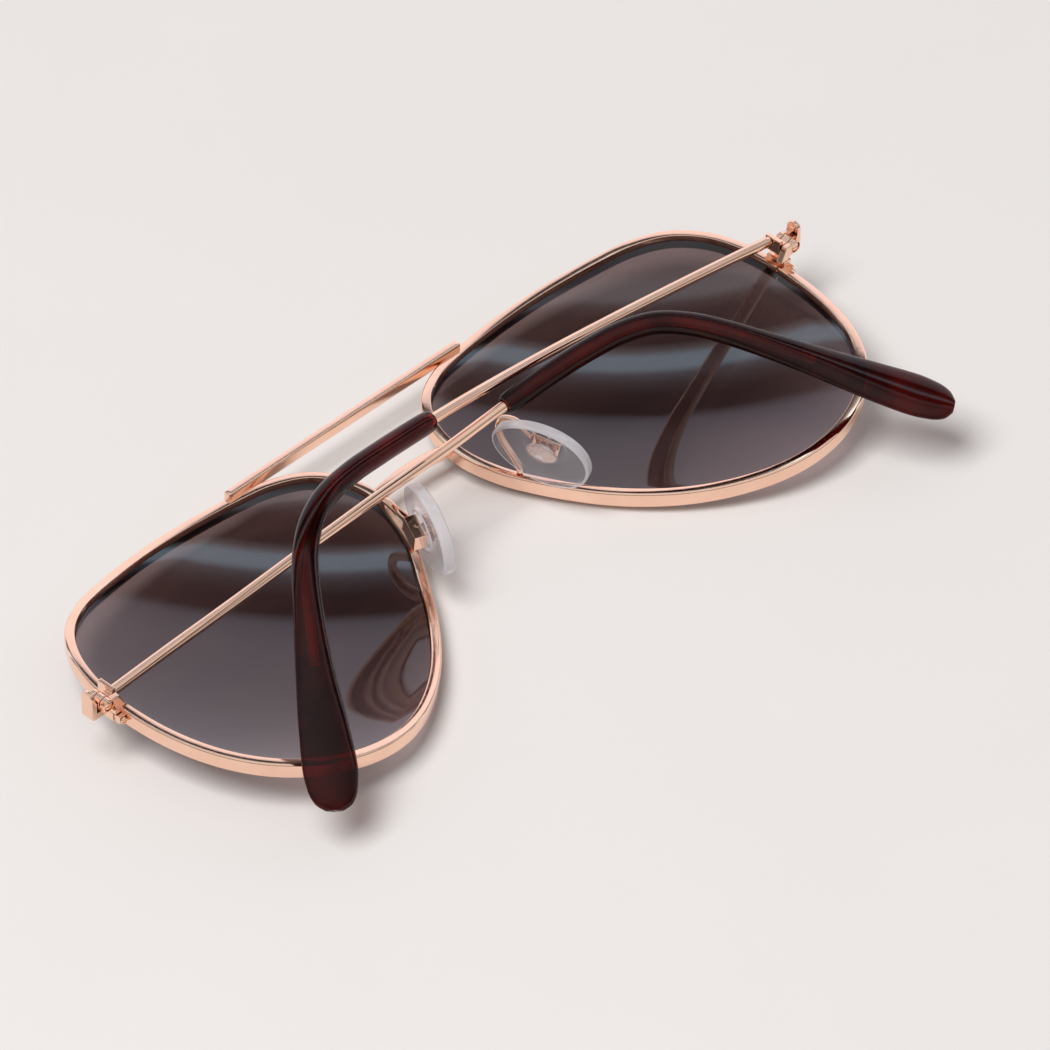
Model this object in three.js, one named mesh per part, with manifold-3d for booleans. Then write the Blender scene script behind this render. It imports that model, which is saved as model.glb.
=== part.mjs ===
// Aviator sunglasses, folded, lying on the fronts of their lenses.
// Millimetres. +X is the wearer's right, +Y is up on the face (the brow side), +Z points from the
// lenses towards the wearer, which is up from the surface the folded glasses rest on.
// Dimensions are measured from the symmetry plane, level with the lens centres; the whole is then
// moved so that the origin is the centre of its footprint, on the plane it rests on.
// Right and left are the wearer's. Everything is drawn for the right side and mirrored for the
// left, but each temple has its own folded path, because the right one crosses over the left one.
import * as THREE from 'three';
import { ParametricGeometry } from 'three/addons/geometries/ParametricGeometry.js';
import { mergeVertices } from 'three/addons/utils/BufferGeometryUtils.js';
import Module from 'manifold-3d';

const wasm = await Module();
wasm.setup();

const { clamp, degToRad, euclideanModulo, inverseLerp, lerp } = THREE.MathUtils;

// ---------------------------------------------------------------- driving dimensions
const ORIGIN = [0, -5.3703, 0.1434];   // centre of the footprint
const LENS_SPACING = 72;          // lens centre to lens centre
const LENS_CURVE = 90;            // radius of the lens surfaces, about a 6 base curve
const WRAP = 0.0799;              // slope of each lens towards the wearer, outward (4.6 degrees)
const FRAME_Z = 2.85;             // back edge of the rim at the lens centre, before the final move
const MERGE_DISTANCE = 1e-4;      // corners closer than this become one

// ---------------------------------------------------------------- materials
const standard = (settings) => new THREE.MeshStandardMaterial(settings);
const gold = () => standard({ color: 0xe8b597, roughness: 0.14, metalness: 1 });
const screwGold = () => standard({ color: 0xd9a98d, roughness: 0.2, metalness: 1 });
const padInsert = () => standard({ color: 0xc9a795, roughness: 0.3, metalness: 1 });
const tortoise = () => standard({ color: 0x3a0f0c, roughness: 0.08, metalness: 0 });
const tintedGlass = () => standard({
  color: 0x4a434c, roughness: 0.04, metalness: 0, transparent: true, opacity: 0.9,
});
const clearPlastic = () => standard({
  color: 0xe9e6ea, roughness: 0.12, metalness: 0, transparent: true, opacity: 0.45,
});

// ---------------------------------------------------------------- closed surfaces and solids
const v3 = (x, y, z) => new THREE.Vector3(x, y, z);

// signed: negative when the faces point inward
function volume(geo) {
  const { position } = geo.attributes, { index } = geo;
  const corner = (i) => v3().fromBufferAttribute(position, index.getX(i));
  let sum = 0;
  for (let i = 0; i < index.count; i += 3) {
    sum += corner(i).dot(corner(i + 1).cross(corner(i + 2)));
  }
  return sum / 6;
}

function flipFaces(geo) {
  const index = Array.from(geo.index.array);
  for (let i = 0; i < index.length; i += 3) {
    [index[i], index[i + 1]] = [index[i + 1], index[i]];
  }
  geo.setIndex(index);
}

// one merged, outward-facing closed surface, without triangles that merging has collapsed
function closed(source) {
  let geo = source.clone();
  for (const name of Object.keys(geo.attributes)) {
    if (name !== 'position') geo.deleteAttribute(name);
  }
  geo = mergeVertices(geo, MERGE_DISTANCE);
  const index = geo.index.array, kept = [];
  for (let i = 0; i < index.length; i += 3) {
    const [a, b, c] = [index[i], index[i + 1], index[i + 2]];
    if (a !== b && b !== c && c !== a) kept.push(a, b, c);
  }
  geo.setIndex(kept);
  if (volume(geo) < 0) flipFaces(geo);
  return geo;
}

// the same surface on the other side of the symmetry plane
function mirrored(source) {
  const geo = closed(source);
  geo.scale(-1, 1, 1);
  flipFaces(geo);
  return geo;
}

function solid(source) {
  const geo = closed(source);
  return new wasm.Manifold(new wasm.Mesh({
    numProp: 3,
    vertProperties: new Float32Array(geo.attributes.position.array),
    triVerts: new Uint32Array(geo.index.array),
  }));
}

function fromSolid(manifold) {
  const mesh = manifold.getMesh();
  const geo = new THREE.BufferGeometry();
  const corners = new Float32Array(mesh.vertProperties);
  geo.setAttribute('position', new THREE.BufferAttribute(corners, 3));
  geo.setIndex(Array.from(mesh.triVerts));
  return geo;
}

const join = (...geos) => fromSolid(geos.map(solid).reduce((a, b) => a.add(b)));
const cut = (geo, ...tools) =>
  fromSolid(tools.map(solid).reduce((a, b) => a.subtract(b), solid(geo)));

// ---------------------------------------------------------------- basic shapes
// evenly spaced values from first to last
const range = (first, last, intervals) =>
  Array.from({ length: intervals + 1 }, (_, i) => first + ((last - first) * i) / intervals);

function box(x0, x1, y0, y1, z0, z1) {
  const geo = new THREE.BoxGeometry(x1 - x0, y1 - y0, z1 - z0);
  return geo.translate((x0 + x1) / 2, (y0 + y1) / 2, (z0 + z1) / 2);
}

// a round bar along Y
function roundY(radius, x, y0, y1, z, sides) {
  const geo = new THREE.CylinderGeometry(radius, radius, y1 - y0, sides);
  return geo.translate(x, (y0 + y1) / 2, z);
}

const polygon = (corners) => new THREE.Shape(corners.map(([x, y]) => new THREE.Vector2(x, y)));

// [x, z] corners, filled from y0 to y1
function plateXZ(corners, y0, y1) {
  const options = { depth: y1 - y0, bevelEnabled: false };
  const geo = new THREE.ExtrudeGeometry(polygon(corners), options);
  geo.applyMatrix4(new THREE.Matrix4().makeBasis(v3(1, 0, 0), v3(0, 0, 1), v3(0, -1, 0)));
  return geo.translate(0, y1, 0);
}

// a shape in the XY plane, filled from z0 to z1, with its edges bevelled inside that size
function plateXY(shape, z0, z1, bevel = 0) {
  const geo = new THREE.ExtrudeGeometry(shape, {
    depth: z1 - z0 - 2 * bevel, bevelEnabled: bevel > 0, bevelThickness: bevel,
    bevelSize: bevel, bevelOffset: -bevel, bevelSegments: 1,
  });
  return geo.translate(0, 0, z0 + bevel);
}

// long in X and wide in Y; a positive taper makes the +X end fuller
function oval(long, wide, sides, taper = 0) {
  return polygon(Array.from({ length: sides }, (_, i) => {
    const angle = (i / sides) * Math.PI * 2;
    const swell = 1 + taper * Math.cos(angle);
    return [(long / 2) * Math.cos(angle), (wide / 2) * Math.sin(angle) * swell];
  }));
}

const curveThrough = (points) =>
  new THREE.CatmullRomCurve3(points.map((p) => v3(...p)), false, 'centripetal');

// a surface of rings: ring(i, angle) is a point of ring i; the first and last rings are closed
// over by their own centres, centre(i)
function rings(count, sides, ring, centre) {
  return new ParametricGeometry((u, v, out) => {
    const i = Math.round(v * (count + 1)) - 1;
    const inside = i >= 0 && i < count;
    out.copy(inside ? ring(i, u * Math.PI * 2) : centre(clamp(i, 0, count - 1)));
  }, sides, count + 1);
}

// a screw along Y with its slotted head at the lower end; headY is the upper face of the head
function slottedScrew({ headRadius, shankRadius, x, z, headY, tipY, slot }) {
  const screw = join(
    roundY(headRadius, x, headY - 0.48, headY, z, 18),
    roundY(shankRadius, x, headY - 0.2, tipY, z, 12));
  const reach = headRadius * 1.2;
  return cut(screw,
    box(x - reach, x + reach, headY - 0.8, headY - 0.3, z - slot / 2, z + slot / 2));
}

// ---------------------------------------------------------------- rim outline
// distance from the lens centre to the rim opening, every 10 degrees from straight outward,
// turning over the brow
const OUTLINE = [
  27.77, 28.26, 28.89, 29.32, 29.08, 27.93, 26.51, 25.52, 25.06,
  25.05, 25.5, 26.44, 27.98, 30.02, 31.49, 31.37, 29.63, 26.7,
  23.68, 21.59, 20.31, 19.54, 19.21, 19.31, 19.79, 20.62, 21.84,
  23.46, 25.15, 26.58, 27.63, 28.26, 28.46, 28.26, 27.91, 27.69,
];
const RING = 64;                  // facets around a rim or a lens

// Catmull-Rom interpolation between the outline's radii
function outlineRadius(angle) {
  const count = OUTLINE.length;
  const turn = euclideanModulo((angle / (2 * Math.PI)) * count, count);
  const i = Math.floor(turn), f = turn - i;
  const [p0, p1, p2, p3] = [-1, 0, 1, 2].map((j) => OUTLINE[(i + j + count) % count]);
  const cubic = 3 * (p1 - p2) + p3 - p0;
  return p1 + 0.5 * f * (p2 - p0 + f * (2 * p0 - 5 * p1 + 4 * p2 - p3 + f * cubic));
}

// a point on the rim opening moved outward by offset, from the lens centre: x outward, y up
function outline(angle, offset) {
  const step = 1e-3;
  const at = (a) => new THREE.Vector2(Math.cos(a), Math.sin(a)).multiplyScalar(outlineRadius(a));
  const point = at(angle);
  const along = at(angle + step).sub(at(angle - step)).normalize();
  return new THREE.Vector2(point.x + along.y * offset, point.y - along.x * offset);
}

// height of the rim's back edge surface over a point measured from the lens centre
const backZ = ({ x, y }) => (x * x + y * y) / (2 * LENS_CURVE) + x * WRAP + FRAME_Z;
const fromLensCentre = (point, z) => v3(LENS_SPACING / 2 + point.x, point.y, z);

// ---------------------------------------------------------------- rim and lens
const RIM_WALL = 1.4;             // eyewire, radial
const RIM_DEPTH = 2.4;            // eyewire, front to back
const RIM_CHAMFER = 0.22;
const GROOVE = 0.75;              // depth of the lens groove
// eyewire section, with the groove that holds the lens: [outward from the opening, z from the
// back edge]
const RIM_SECTION = [
  [0, 0], [RIM_WALL - RIM_CHAMFER, 0], [RIM_WALL, -RIM_CHAMFER],
  [RIM_WALL, -RIM_DEPTH + RIM_CHAMFER], [RIM_WALL - RIM_CHAMFER, -RIM_DEPTH], [0, -RIM_DEPTH],
  [0, -2.05], [GROOVE, -1.85], [GROOVE, -1.35], [0, -1.15],
];
const SLIT_Y = 2.72, SLIT = 0.32;  // where each rim is split, and the width of the split

const LENS_BACK = 0.85;           // lens back surface in front of the rim's back edge
const LENS_THICK = 1.7;
const LENS_EDGE = -0.12;          // lens edge, outward from the rim opening
const BEVEL_EDGE = LENS_EDGE + 0.57;   // crest of the bevel that stands into the groove
const LENS_SHARE = 0.55;          // inner ring of the lens faces, as a share of the radius
// lens section: [share of the radius, outward from the opening, depth in front of the back edge]
const LENS_SECTION = [
  [LENS_SHARE, LENS_EDGE, LENS_BACK], [1, LENS_EDGE, LENS_BACK],
  [1, LENS_EDGE, 1.3], [1, BEVEL_EDGE, 1.5], [1, BEVEL_EDGE, 1.7], [1, LENS_EDGE, 1.95],
  [1, LENS_EDGE, LENS_BACK + LENS_THICK], [LENS_SHARE, LENS_EDGE, LENS_BACK + LENS_THICK],
];

function sweepRim(section) {
  const count = section.length;
  return new ParametricGeometry((u, v, out) => {
    const [offset, z] = section[Math.round(v * count) % count];
    const angle = u * Math.PI * 2;
    out.copy(fromLensCentre(outline(angle, offset), backZ(outline(angle, 0)) + z));
  }, RING, count);
}

// cutting tool: the plain eyewire section, larger by gap all round
const rimClearance = (gap) => sweepRim([
  [-gap, gap], [RIM_WALL + gap, gap], [RIM_WALL + gap, -RIM_DEPTH - gap], [-gap, -RIM_DEPTH - gap],
]);

const rim = () => cut(sweepRim(RIM_SECTION),
  box(63.2, 67, SLIT_Y - SLIT / 2, SLIT_Y + SLIT / 2, 5, 12));

function lens() {
  const ring = (i, angle) => {
    const [share, offset, depth] = LENS_SECTION[i];
    const point = outline(angle, offset).multiplyScalar(share);
    // the edge follows the rim, so its height is taken at the opening
    return fromLensCentre(point, backZ(share < 1 ? point : outline(angle, 0)) - depth);
  };
  const middle = new THREE.Vector2(0, 0);
  return rings(LENS_SECTION.length, RING, ring,
    (i) => fromLensCentre(middle, backZ(middle) - LENS_SECTION[i][2]));
}

// ---------------------------------------------------------------- rim closing
const BLOCK_X0 = 64.9, BLOCK_X1 = 66.4, BLOCK_Z0 = 7.6, BLOCK_Z1 = 9.1;
const BLOCK_FROM_SLIT = 0.2;      // each block's face to the middle of the slit
const LOWER_BLOCK_Y0 = 1.6;
const RIM_SCREW_X = BLOCK_X1 - 0.62, RIM_SCREW_Z = (BLOCK_Z0 + BLOCK_Z1) / 2;
const RIM_FIT = 0.05;             // gap between the rim and the parts at its outer side

// inset: how much smaller the block is at its outward, front and back faces
function rimBlock(y0, y1, inset, boreTop) {
  const block = box(BLOCK_X0, BLOCK_X1 - inset, y0, y1, BLOCK_Z0 + inset, BLOCK_Z1 - inset);
  return cut(block, rimClearance(RIM_FIT),
    roundY(0.48, RIM_SCREW_X, 0, boreTop, RIM_SCREW_Z, 12));
}
const upperBlock = () => rimBlock(SLIT_Y + BLOCK_FROM_SLIT, 4.8, 0, 4.3);
const lowerBlock = () => rimBlock(LOWER_BLOCK_Y0, SLIT_Y - BLOCK_FROM_SLIT, 0.1, 3);
const rimScrew = () => slottedScrew({
  headRadius: 0.5, shankRadius: 0.4, x: RIM_SCREW_X, z: RIM_SCREW_Z,
  headY: LOWER_BLOCK_Y0 - 0.05, tipY: 4.2, slot: 0.2,
});

// ---------------------------------------------------------------- end piece and hinge
const HINGE_X = 67.4, HINGE_Z = 11.33;   // hinge axis, running along Y
const KNUCKLE_R = 1.0, BORE_R = 0.5, PIN_R = 0.43;
// [lower, upper] end of each knuckle along the axis
const LOWER_EAR = [2.4, 3.35], TEMPLE_KNUCKLE = [3.45, 4.65], UPPER_EAR = [4.75, 5.6];
const STRAP_Y0 = 3.45, STRAP_Y1 = 5.55;
const STRAP_Z0 = 9.15, STRAP_Z1 = 9.9;   // the strap where it crosses over the upper block
const TURN_X0 = 68.9, TURN_X1 = 69.6;    // the part of the strap that is turned back
const TURN_Z1 = 12.4;

const knuckle = ([y0, y1], x, z) => roundY(KNUCKLE_R, x, y0, y1, z, 20);
const bore = ([y0, y1], x, z) => roundY(BORE_R, x, y0 - 1, y1 + 1, z, 16);

// the rounded tongue at the end of the strap
function strapTongue() {
  const tongue = new THREE.CylinderGeometry(1.05, 1.05, TURN_X1 - TURN_X0, 24);
  tongue.rotateZ(Math.PI / 2);
  return tongue.translate((TURN_X0 + TURN_X1) / 2, (STRAP_Y0 + STRAP_Y1) / 2, 12.7);
}

// a strap that leaves the rim over the upper block, runs outward and turns back, with the
// upper ear on it
function endPiece() {
  const strap = plateXZ([
    [64.8, STRAP_Z0], [69.2, STRAP_Z0], [69.45, 9.25], [TURN_X1, 9.5],
    [TURN_X1, TURN_Z1], [TURN_X0, TURN_Z1], [TURN_X0, STRAP_Z1], [64.8, STRAP_Z1],
  ], STRAP_Y0, STRAP_Y1);
  const foot = box(65, BLOCK_X1, 2.3, 5, STRAP_Z0, STRAP_Z1);
  const [y0, y1] = UPPER_EAR;
  const earArm = box(HINGE_X, TURN_X0 + 0.1, y0, y1, HINGE_Z - 0.5, HINGE_Z + 0.5);
  const ear = knuckle(UPPER_EAR, HINGE_X, HINGE_Z);
  const body = cut(join(strap, foot, strapTongue(), earArm, ear), rimClearance(RIM_FIT));
  return cut(body, bore(UPPER_EAR, HINGE_X, HINGE_Z));
}

// lower ear, behind the foot of the strap, with a seat for the head of the hinge screw
function frontHinge() {
  const [y0, y1] = LOWER_EAR;
  const leaf = plateXZ([[64.4, 9.95], [66.0, 9.95], [67.0, 12.1], [65.5, 12.1]], y0, y1);
  const body = join(leaf, box(66, HINGE_X, y0, y1, HINGE_Z - 0.6, HINGE_Z + 0.6),
    knuckle(LOWER_EAR, HINGE_X, HINGE_Z));
  const seat = roundY(0.82, HINGE_X, y0 - 1, y0 + 0.55, HINGE_Z, 16);
  return cut(body, bore(LOWER_EAR, HINGE_X, HINGE_Z), seat);
}
const hingeScrew = () => slottedScrew({
  headRadius: 0.74, shankRadius: PIN_R, x: HINGE_X, z: HINGE_Z,
  headY: LOWER_EAR[0] + 0.5, tipY: UPPER_EAR[1] - 0.1, slot: 0.22,
});

// ---------------------------------------------------------------- temples
const WIRE_R = 0.78;              // temple wire
const WIRE_START = 3.2;           // where the wire leaves the end plate, from the hinge axis
const CORE_END = 126;             // end of the wire inside the tip, along the temple
const TIP_BORE = 0.88;
const TIP_MOUTH = 1.4;            // radius of the tip's first ring
// Each temple as it lies when folded: centre line [x, y, z] from the hinge to the end of the
// tip, as if on the wearer's right; its outward face; where the plastic tip starts; lift off the
// front, in degrees. The two differ a little, as a pair that has been worn and bent to fit does.
const TEMPLES = {
  right: {
    path: [
      [65.05, 5.51, 11.96], [54.45, 5.97, 13.23], [41.57, 6.2, 14.91], [28.7, 6.1, 16.77],
      [15.86, 5.65, 18.76], [3.06, 4.79, 20.85], [-8.71, 3.6, 22.84], [-16.53, 2.59, 24.18],
      [-22.42, 1.76, 25.01], [-28.26, 0.47, 25.4], [-32.84, -1.49, 25.2], [-36.87, -4.32, 24.39],
      [-40.28, -7.71, 23.04], [-43.93, -12.01, 21.0], [-47.95, -17.05, 18.28],
      [-51.67, -22.12, 15.21], [-55.22, -27.08, 11.79], [-58.52, -31.31, 8.34],
    ],
    outward: [0.0864, -0.3413, 0.936], tipStart: 73.75, lift: 6.6,
  },
  left: {
    path: [
      [64.98, 4.58, 11.0], [54.27, 4.8, 11.4], [41.29, 4.78, 12.11], [28.34, 4.63, 13.18],
      [15.41, 4.19, 14.51], [2.53, 3.34, 15.99], [-9.31, 2.56, 17.78], [-17.18, 1.79, 18.99],
      [-23.09, 1.04, 19.69], [-28.94, -0.14, 20.21], [-33.49, -2.15, 20.36],
      [-37.21, -5.43, 19.83], [-40.14, -9.38, 18.98], [-43.19, -14.4, 17.77],
      [-46.73, -20.22, 16.15], [-50.31, -25.96, 14.35], [-54.07, -31.57, 12.53],
      [-57.97, -36.99, 10.7],
    ],
    outward: [0.0269, -0.0871, 0.9958], tipStart: 77.1, lift: 1.75,
  },
};
for (const temple of Object.values(TEMPLES)) {
  temple.curve = curveThrough(temple.path);
  temple.curve.arcLengthDivisions = 600;
}
// plastic tip: [distance along the temple, half width, half thickness]
const TIP_TABLE = [
  [80, 1.62, 1.6], [100, 1.66, 1.62], [109, 1.82, 1.55], [118, 2.15, 1.45], [126.6, 2.8, 1.35],
  [135, 3.65, 1.25], [140.4, 3.97, 1.2], [143.5, 3.55, 1.1], [145.4, 2.6, 0.9],
  [146.3, 1.2, 0.55],
];

// centre line point at a distance along a temple, with the directions towards its inner face
// and across it
function spine(side, distance) {
  const { curve, outward } = TEMPLES[side];
  const share = clamp((distance - WIRE_START) / curve.getLength(), 0, 1);
  const point = curve.getPointAt(share), along = curve.getTangentAt(share);
  const inward = v3(...outward).negate();
  inward.addScaledVector(along, -inward.dot(along)).normalize();
  const across = inward.clone().cross(along).normalize();
  return { point, inward, across };
}

// elliptical rings at distances along a temple; half(distance) is [half width, half thickness]
function alongTemple(side, stations, half, sides) {
  const ring = (i, angle) => {
    const { point, inward, across } = spine(side, stations[i]);
    const [halfWidth, halfThickness] = half(stations[i]);
    return point.addScaledVector(across, halfWidth * Math.cos(angle))
      .addScaledVector(inward, halfThickness * Math.sin(angle));
  };
  return rings(stations.length, sides, ring, (i) => spine(side, stations[i]).point);
}

function templeWire(side) {
  const stations = [WIRE_START, ...range(10, 84, 7), ...range(88, 118, 8), CORE_END];
  return alongTemple(side, stations, () => [WIRE_R, WIRE_R], 12);
}

function tipHalf(distance) {
  let i = 0;
  while (i < TIP_TABLE.length - 2 && distance > TIP_TABLE[i + 1][0]) i++;
  const [s0, width0, thickness0] = TIP_TABLE[i];
  const [s1, width1, thickness1] = TIP_TABLE[i + 1];
  const share = clamp(inverseLerp(s0, s1, distance), 0, 1);
  return [lerp(width0, width1, share), lerp(thickness0, thickness1, share)];
}

function templeTip(side) {
  const start = TEMPLES[side].tipStart;
  const stations = [start, start + 0.5, ...range(82, 118, 9), 122, 126.6, 131, 135, 138, 140.4,
    142, 143.5, 144.6, 145.4, 146.3];
  const half = (s) => (s === start ? [TIP_MOUTH, TIP_MOUTH] : tipHalf(s));
  const boreStations = [start - 2, ...range(82, 118, 9), CORE_END + 0.6];
  return cut(alongTemple(side, stations, half, 16),
    alongTemple(side, boreStations, () => [TIP_BORE, TIP_BORE], 12));
}

// middle knuckle with its end plate, drawn about the hinge axis and then turned by the lift
function templeHinge(side) {
  const [y0, y1] = TEMPLE_KNUCKLE;
  const endPlate = box(-2.3, -1.6, y0 + 0.05, 6.3, -1.05, 1.15);
  const neck = box(-1.7, -0.2, y0, y1, -0.6, 0.6);
  const hinge = cut(join(endPlate, neck, knuckle(TEMPLE_KNUCKLE, 0, 0)),
    bore(TEMPLE_KNUCKLE, 0, 0));
  hinge.rotateY(degToRad(TEMPLES[side].lift));
  return hinge.translate(HINGE_X, 0, HINGE_Z);
}

// ---------------------------------------------------------------- nose pads
const PAD_LONG = 14.7, PAD_WIDE = 9.3, PAD_THICK = 1.9;
const PAD_BACK = PAD_THICK / 2;   // the face away from the nose, from the pad's middle
const PAD_CENTRE = [11.0, -2.1, FRAME_Z + 7.5];
const PAD_PIVOT = 2.1;            // pad centre to the screw the pad rocks on
const PAD_BORE = 0.42;
const CORE_LONG = 4.4, CORE_WIDE = 2.6;
const CORE_FIT = 0.12;            // gap between the plate in the pad and its recess

// pad frame: x down along the pad, y across it towards the front, z away from the nose
const PAD_DOWN = v3(0.3672, -0.9043, -0.2176).normalize();
const PAD_ACROSS = v3(0, 0, -1).addScaledVector(PAD_DOWN, PAD_DOWN.z).normalize();
const PAD_AWAY = PAD_DOWN.clone().cross(PAD_ACROSS).normalize();
const PAD_FRAME = new THREE.Matrix4().makeBasis(PAD_DOWN, PAD_ACROSS, PAD_AWAY)
  .setPosition(...PAD_CENTRE);

const pivotHole = () => roundY(PAD_BORE, 0, -3, 3, PAD_PIVOT, 12);
const coreOval = (grow) => oval(CORE_LONG + 2 * grow, CORE_WIDE + 2 * grow, 16);

// a small plate inside the pad with a lug that the screw passes through
function coreShape(grow, lugTop) {
  const plate = plateXY(coreOval(grow), -0.3 - grow, 0.3 + grow);
  const lug = box(-0.8 - grow, 0.8 + grow, -0.55 - grow, 0.55 + grow, 0, lugTop);
  return join(plate, lug);
}
const padCore = () => cut(coreShape(0, PAD_PIVOT + 0.6), pivotHole()).applyMatrix4(PAD_FRAME);

function nosePad() {
  const collar = cut(plateXY(oval(6.4, 4.6, 20), PAD_BACK - 0.2, PAD_BACK + 0.38),
    plateXY(oval(5.3, 3.5, 20), PAD_BACK - 1, PAD_BACK + 1));
  const body = plateXY(oval(PAD_LONG, PAD_WIDE, 24, 0.1), -PAD_BACK, PAD_BACK, 0.55);
  // the recess over the plate is open, so the plate can be pressed in from the back
  const recess = plateXY(coreOval(CORE_FIT), 0, PAD_BACK + 1);
  return cut(join(body, collar), coreShape(CORE_FIT, PAD_PIVOT + 2.6), recess)
    .applyMatrix4(PAD_FRAME);
}

// a small cup, open towards the pad
function padBox() {
  const cup = cut(box(-2, 2, -1.35, 1.35, PAD_PIVOT - 0.7, PAD_PIVOT + 1.1),
    box(-1.5, 1.5, -0.9, 0.9, PAD_PIVOT - 2, PAD_PIVOT + 0.8));
  return cut(cup, pivotHole()).applyMatrix4(PAD_FRAME);
}

function padScrew() {
  const headY = 1.4;
  const screw = join(roundY(0.36, 0, -1.5, headY, PAD_PIVOT, 12),
    roundY(0.62, 0, headY, headY + 0.35, PAD_PIVOT, 14));
  return cut(screw, box(-1, 1, 1.58, 2, PAD_PIVOT - 0.12, PAD_PIVOT + 0.12))
    .applyMatrix4(PAD_FRAME);
}

const ARM_R = 0.55;
// centre line from the rim to the pad box: [x, y, z from FRAME_Z]
const ARM_PATH = [
  [10.85, 1.8, 1.72], [10.85, 1.95, 2.3], [10.9, 3.4, 3.7], [11.0, 5.4, 5.2], [11.3, 6.55, 6.8],
  [11.8, 6.3, 8.1], [12.2, 4.7, 8.7], [12.35, 2.8, 8.45], [12.22, 0.75, 7.98],
];
function padArm() {
  const section = new THREE.Shape();
  section.absarc(0, 0, ARM_R, 0, Math.PI * 2, false);
  const extrudePath = curveThrough(ARM_PATH.map(([x, y, z]) => [x, y, z + FRAME_Z]));
  return new THREE.ExtrudeGeometry(section, {
    steps: 20, extrudePath, bevelEnabled: false, curveSegments: 4,
  });
}

// ---------------------------------------------------------------- brow bar and bridge
const BAR_TALL = 1.24, BAR_DEEP = 1.8;   // height on the face, front to back
const BAR_CHAMFER = 0.26;
const BAR_HALF = 22.7, BAR_Y = 25.7, BAR_Z = FRAME_Z + 3.25;
const BRIDGE_TALL = 2.1, BRIDGE_DEEP = 1.3;
const BRIDGE_HALF = 6.9;          // where the bridge is back at its base height, each side
const BRIDGE_Y = 12.35, BRIDGE_RISE = 0.5;               // base height and rise up the face
const BRIDGE_Z = FRAME_Z + 1.55, BRIDGE_BOW = 0.35;      // base and bow towards the wearer
const BRIDGE_SQUARENESS = 0.7;    // 1 gives an elliptical section, less a squarer one
const CENTRE_FIT = 0.07;          // gap between the rims and the brow bar or bridge

function browBar() {
  const z = BAR_DEEP / 2, y = BAR_TALL / 2, chamfer = BAR_CHAMFER;
  const section = polygon([
    [-z + chamfer, -y], [z - chamfer, -y], [z, -y + chamfer], [z, y - chamfer],
    [z - chamfer, y], [-z + chamfer, y], [-z, y - chamfer], [-z, -y + chamfer],
  ]);
  const bar = new THREE.ExtrudeGeometry(section, { depth: 2 * BAR_HALF, bevelEnabled: false });
  // the section's first direction becomes depth, its second becomes height on the face
  bar.applyMatrix4(new THREE.Matrix4().makeBasis(v3(0, 0, 1), v3(0, 1, 0), v3(-1, 0, 0)));
  bar.translate(BAR_HALF, BAR_Y, BAR_Z);
  const clearance = rimClearance(CENTRE_FIT);
  return cut(bar, clearance, mirrored(clearance));
}

function bridgePoint(x) {
  const arch = 1 - (x / BRIDGE_HALF) ** 2;
  return v3(x, BRIDGE_Y + BRIDGE_RISE * arch, BRIDGE_Z + BRIDGE_BOW * arch);
}
function bridge() {
  const stations = range(-7.6, 7.6, 14);
  const squared = (c) => Math.sign(c) * Math.abs(c) ** BRIDGE_SQUARENESS;
  const ring = (i, angle) => {
    const x = stations[i];
    const along = bridgePoint(x + 0.01).sub(bridgePoint(x - 0.01)).normalize();
    const up = v3(0, 0, 1).cross(along).normalize();
    const back = along.clone().cross(up);
    return bridgePoint(x)
      .addScaledVector(up, (BRIDGE_TALL / 2) * squared(Math.cos(angle)))
      .addScaledVector(back, (BRIDGE_DEEP / 2) * squared(Math.sin(angle)));
  };
  const bar = rings(stations.length, 12, ring, (i) => bridgePoint(stations[i]));
  const clearance = rimClearance(CENTRE_FIT);
  // only the span between the rims is kept
  return fromSolid(solid(bar)
    .subtract(solid(clearance))
    .subtract(solid(mirrored(clearance)))
    .intersect(solid(box(-7.4, 7.4, 8, 18, 0, 12))));
}

// ---------------------------------------------------------------- assembly
// [name after the side, builder of the right-hand form, material]
const FRONT_PIECES = [
  ['rim', rim, gold],
  ['lens', lens, tintedGlass],
  ['rim_block_upper', upperBlock, gold],
  ['rim_block_lower', lowerBlock, gold],
  ['rim_screw', rimScrew, screwGold],
  ['end_piece', endPiece, gold],
  ['hinge_front', frontHinge, gold],
  ['hinge_screw', hingeScrew, screwGold],
  ['pad_arm', padArm, gold],
  ['pad_box', padBox, gold],
  ['pad_screw', padScrew, screwGold],
];
const PAD_PIECES = [
  ['nose_pad', nosePad, clearPlastic],
  ['pad_core', padCore, padInsert],
];
const TEMPLE_PIECES = [
  ['hinge_temple', templeHinge, gold],
  ['temple_wire', templeWire, gold],
  ['temple_tip', templeTip, tortoise],
];

function add(group, name, geo, material) {
  const mesh = new THREE.Mesh(closed(geo), material);
  mesh.geometry.translate(-ORIGIN[0], -ORIGIN[1], -ORIGIN[2]);
  mesh.geometry.computeVertexNormals();
  mesh.name = name;
  group.add(mesh);
}

function addPieces(group, side, pieces) {
  for (const [name, build, material] of pieces) {
    const geo = build(side);
    add(group, `${side}_${name}`, side === 'right' ? geo : mirrored(geo), material());
  }
}

const glasses = new THREE.Group();
const front = new THREE.Group();
add(front, 'brow_bar', browBar(), gold());
add(front, 'bridge', bridge(), gold());
for (const side of ['right', 'left']) {
  addPieces(front, side, FRONT_PIECES);
  for (const pieces of [PAD_PIECES, TEMPLE_PIECES]) {
    const group = new THREE.Group();
    addPieces(group, side, pieces);
    glasses.add(group);
  }
}
glasses.add(front);

export default glasses;
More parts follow.
